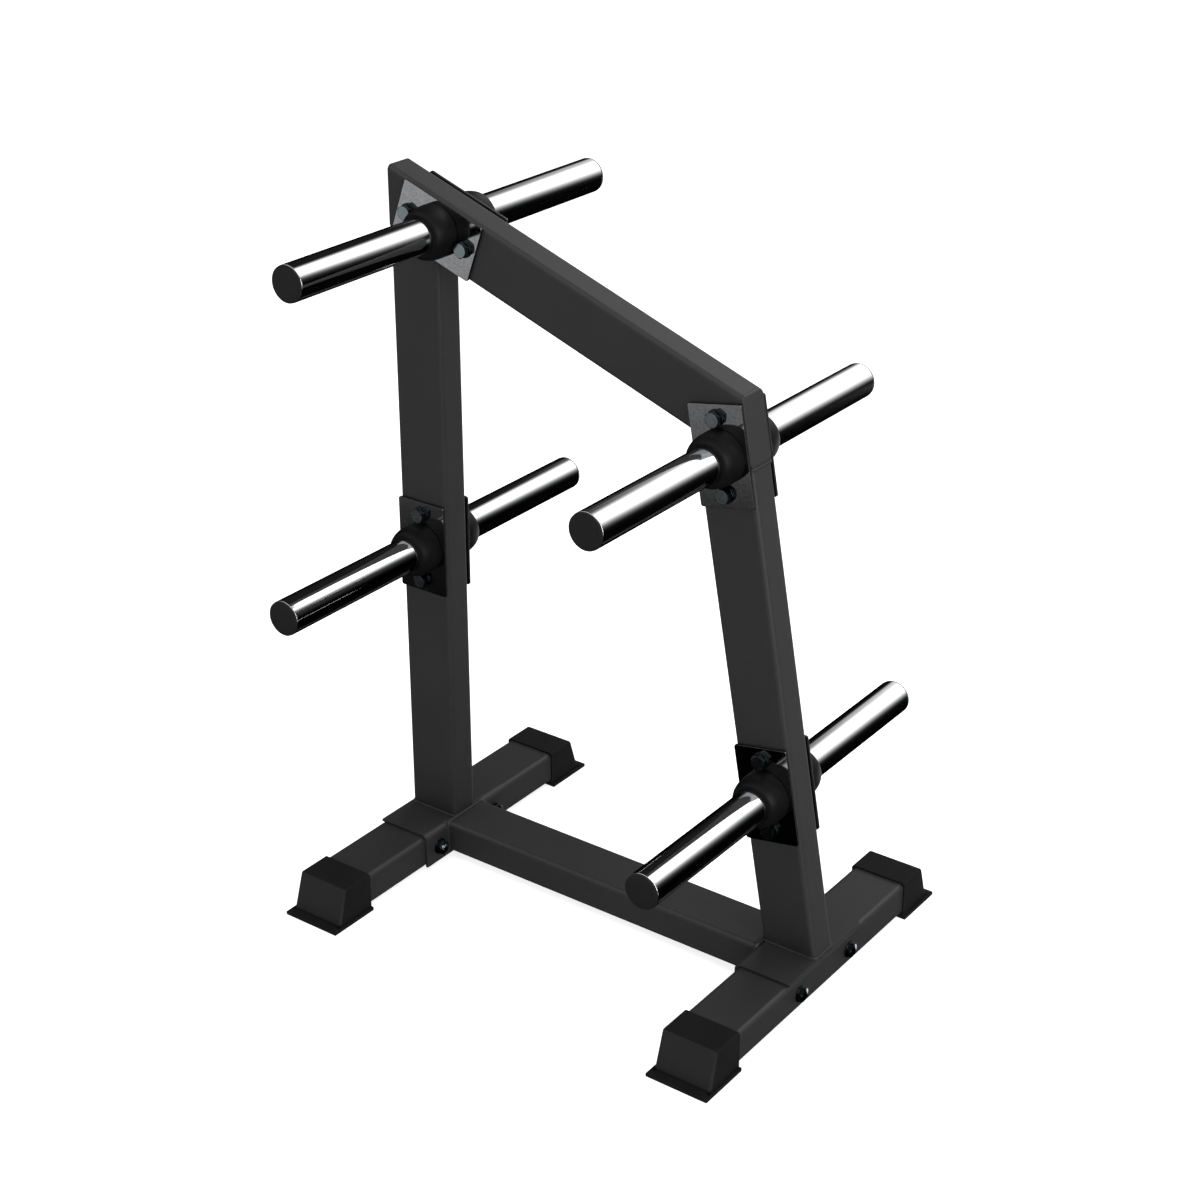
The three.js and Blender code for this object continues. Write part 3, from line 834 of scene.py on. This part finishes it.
floorLook = {"size": 40, "glow": 0.78, "dark": (0.85, 0.85, 0.85), "light": (0.87, 0.87, 0.87), "speckle": 3}


def floorNodes(tree):
    speckle = noise(tree, objectPlace(tree), floorLook["speckle"], 3)
    return {"Base Color": tint(tree, speckle, floorLook["dark"], floorLook["light"])}


floorShine = {"Roughness": 0.9, "Specular IOR Level": 0.0, "Emission Color": (1, 1, 1, 1),
              "Emission Strength": floorLook["glow"]}
floorPaint = surface("floor_paint", floorShine, floorNodes)
bm = bmesh.new()
bmesh.ops.create_grid(bm, x_segments=8, y_segments=8, size=floorLook["size"] / 2)
bmesh.ops.translate(bm, vec=(0, 0, -air), verts=bm.verts)
mesh = bpy.data.meshes.new("floor")
bm.to_mesh(mesh)
bm.free()
mesh.materials.append(floorPaint)
floor = bpy.data.objects.new("floor", mesh)
bpy.context.scene.collection.objects.link(floor)
floor.visible_glossy = False

lights = {
    "top": {"place": (-0.2, 0.1, 3.2), "aim": (0, 0, 0.4), "size": 3.2, "power": 54},
    "right": {"place": (3.2, -0.6, 1.5), "aim": (0, 0, 0.5), "size": 2.2, "power": 61, "glossy": True},
    "front": {"place": (-0.6, -3.4, 1.8), "aim": (0, 0, 0.5), "size": 2.4, "power": 13},
    "rear": {"place": (0.6, 3.4, 1.8), "aim": (0, 0, 0.5), "size": 2.4, "power": 22},
    "left": {"place": (-3.2, 0.6, 1.9), "aim": (0, 0, 0.5), "size": 2.2, "power": 22},
}
for name, light in lights.items():
    lamp = bpy.data.lights.new(name, "AREA")
    lamp.shape = "SQUARE"
    lamp.size = light["size"]
    lamp.energy = light["power"]
    holder = bpy.data.objects.new(name, lamp)
    holder.location = light["place"]
    aim = Vector(light["aim"]) - Vector(light["place"])
    holder.rotation_euler = aim.to_track_quat("-Z", "Y").to_euler()
    holder.visible_glossy = light.get("glossy", False)
    bpy.context.scene.collection.objects.link(holder)

# the studio that polished metal sees, by the direction that it looks in: for the rear and front halves,
# the glow at heights from -1, straight down, to 1, straight up
studio = {
    "rear": [(-1.0, 0.001), (-0.3, 0.002), (-0.1, 0.015), (0.0, 0.12), (0.1, 0.42), (0.2, 0.85), (0.3, 1.3),
             (0.5, 1.9)],
    "front": [(-1.0, 0.001), (-0.46, 0.001), (-0.415, 0.01), (-0.395, 0.06), (-0.37, 0.2), (-0.33, 0.4),
              (-0.28, 0.6), (-0.2, 0.6), (-0.08, 0.05), (0.32, 0.04), (0.52, 0.8), (0.8, 1.0)],
    "brightest": 2.0,
    "ambient": 0.28,
    "halves": (-0.15, 0.15),
    "leftEdge": (-0.75, -0.3, 0.006, 1.0),
    "rightEdge": (0.58, 1.04, 1.0, 0.03),
    "leanFrom": 0.45,
    "leanBy": 1.7,
    "panelSide": (0.822, 0.865),
    "panelHeight": (-0.12, -0.3),
    "panelGlow": 1.6,
}
world = bpy.data.worlds.new("studio")
world.use_nodes = True
bpy.context.scene.world = world
tree = world.node_tree
tree.nodes.clear()
direction = makeNode(tree, "ShaderNodeTexCoord", {}, {}, "Generated")
toRight, toRear, toTop = (coordinate(tree, direction, letter) for letter in "XYZ")
height = toTop * 0.5 + 0.5
brightest = studio["brightest"]
rearStops = [(z * 0.5 + 0.5, glow / brightest) for z, glow in studio["rear"]]
frontStops = [(z * 0.5 + 0.5, glow) for z, glow in studio["front"]]
rearGlow = ramp(tree, height, rearStops) * brightest
frontGlow = ramp(tree, height, frontStops)
bearing = toRight / toRear.atLeast(0.05)
raised = (toTop - studio["leanFrom"]).atLeast(0.0) * studio["leanBy"]
leftEdge = fade(tree, bearing - raised, *studio["leftEdge"])
rightEdge = fade(tree, bearing, *studio["rightEdge"])
behind = fade(tree, toRear, *studio["halves"])
panelReach = fade(tree, toRear, *studio["panelSide"]) * fade(tree, toTop, *studio["panelHeight"])
rearSide = rearGlow * leftEdge * rightEdge + panelReach * studio["panelGlow"]
glossy = rearSide * behind + frontGlow * (1 - behind)
seesCamera = makeNode(tree, "ShaderNodeLightPath", {}, {}, "Is Camera Ray")
seesGlossy = makeNode(tree, "ShaderNodeLightPath", {}, {}, "Is Glossy Ray")
lit = seesGlossy * glossy + (1 - seesGlossy) * studio["ambient"]
strength = seesCamera + (1 - seesCamera) * lit
shine = makeNode(tree, "ShaderNodeBackground", {}, {"Color": (1, 1, 1, 1), "Strength": strength})
makeNode(tree, "ShaderNodeOutputWorld", {}, {"Surface": shine}, None)
bpy.context.scene.view_settings.view_transform = "Standard"
print("studio made")
